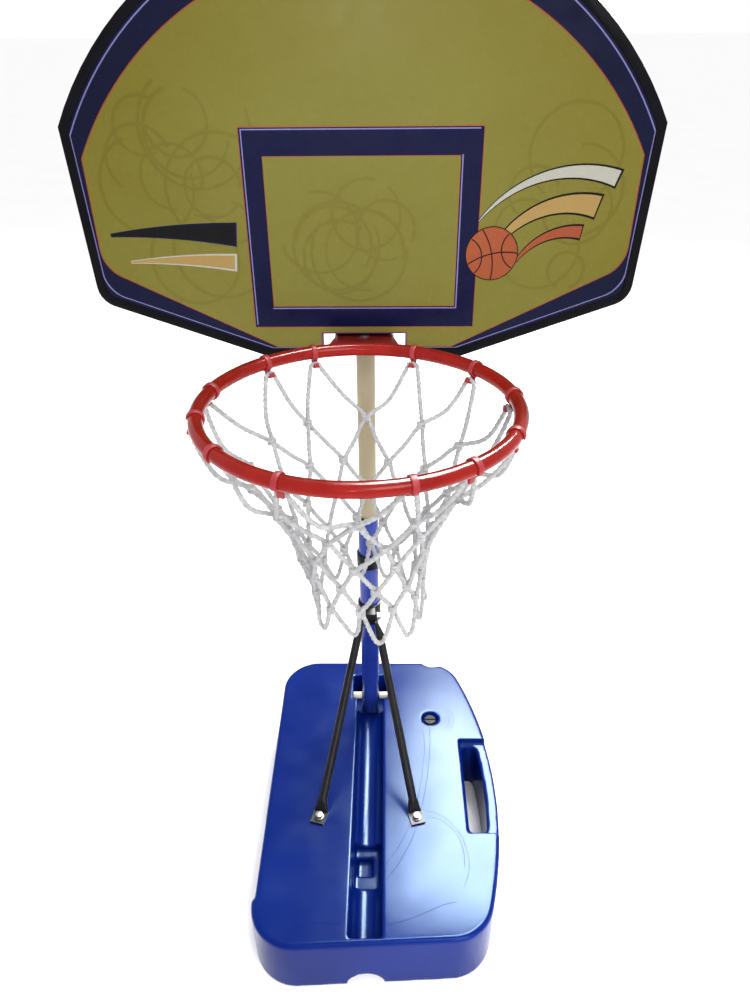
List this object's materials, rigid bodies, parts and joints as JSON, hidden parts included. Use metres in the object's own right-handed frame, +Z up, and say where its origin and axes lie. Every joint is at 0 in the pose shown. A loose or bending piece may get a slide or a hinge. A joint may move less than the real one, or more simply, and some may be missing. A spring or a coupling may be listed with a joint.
{
  "type": "portable basketball hoop",
  "caption": "Small portable basketball hoop: fan-shaped backboard, ring with clipped cord net, telescoping pole braced by two struts on a fillable carry-case base.",
  "frame": {"origin": "on the floor under the middle of the base, in line with the pole and the storage groove", "axes": "+Z up, +Y from the ring back to the backboard and pole, +X to the side with the carrying handle"},
  "size_m": [0.8206, 0.6399, 1.5],
  "materials": {
    "tank_blue": "satin, fine moulded grain",
    "plastic_black": "satin",
    "rubber_black": "matte",
    "pole_blue": "gloss",
    "pole_cream": "satin",
    "steel_black": "satin",
    "zinc_steel": "satin",
    "brass_insert": "satin",
    "nylon_cream": "satin",
    "board_navy": "satin",
    "board_print": "gloss printed sheet",
    "trim_black": "gloss",
    "rim_red": "gloss",
    "clip_red": "satin",
    "net_white": "twisted cord"
  },
  "bodies": {
    "base": {"base_tank": "tank_blue", "side_bumper": "rubber_black", "pole_lower": "pole_blue", "pole_shoe": "plastic_black", "pivot_rod": "zinc_steel", "pivot_spacers": "nylon_cream", "pole_mouth": "plastic_black", "lock_collar": "plastic_black", "lock_nut": "zinc_steel", "strut_clamp": "plastic_black", "strut_left": "steel_black", "strut_right": "steel_black", "strut_bolt": "zinc_steel", "strut_bolt_nut": "zinc_steel", "strut_washers": "zinc_steel", "foot_bolts": "zinc_steel", "foot_washers": "zinc_steel", "foot_inserts": "brass_insert"},
    "hoop_head": {"pole_upper": "pole_cream", "pole_glide": "plastic_black", "pole_cap": "plastic_black", "board_panel": "board_navy", "board_face": "board_print", "board_trim": "trim_black", "board_bracket": "steel_black", "board_screws": "zinc_steel", "bracket_bolts": "zinc_steel", "bracket_nuts": "zinc_steel", "rim_ring": "rim_red", "rim_bracket": "rim_red", "rim_bolt": "zinc_steel", "rim_nut": "zinc_steel", "net_clips": "clip_red", "net": "net_white"},
    "lock_pad": {"lock_pad": "nylon_cream"},
    "lock_screw": {"lock_screw": "zinc_steel", "lock_knob": "plastic_black"},
    "plug_seal": {"filler_seal": "rubber_black"},
    "plug": {"filler_plug": "plastic_black"}
  },
  "joints": [
    {"name": "height_adjust", "type": "slide", "parent": "base", "child": "hoop_head", "axis": [0, 0, 1], "range_m": [0, 0.3]},
    {"name": "lock_advance", "type": "slide", "parent": "base", "child": "lock_pad", "axis": [0, 1, 0], "range_m": [0, 0.002]},
    {"name": "lock_turn", "type": "hinge", "parent": "lock_pad", "child": "lock_screw", "pos_m": [0, 0.275, 0.49], "axis": [0, 1, 0], "range_deg": [0, 360]},
    {"name": "seal_lift", "type": "slide", "parent": "base", "child": "plug_seal", "axis": [0, 0, 1], "range_m": [0, 0.003]},
    {"name": "plug_turn", "type": "hinge", "parent": "plug_seal", "child": "plug", "pos_m": [0.127, 0.153, 0.118], "axis": [0, 0, 1], "range_deg": [0, 360]}
  ],
  "couplings": [
    {"joint": "lock_advance", "follows": "lock_turn", "m_per_rad": 0.000318},
    {"joint": "seal_lift", "follows": "plug_turn", "m_per_rad": 0.000477}
  ]
}
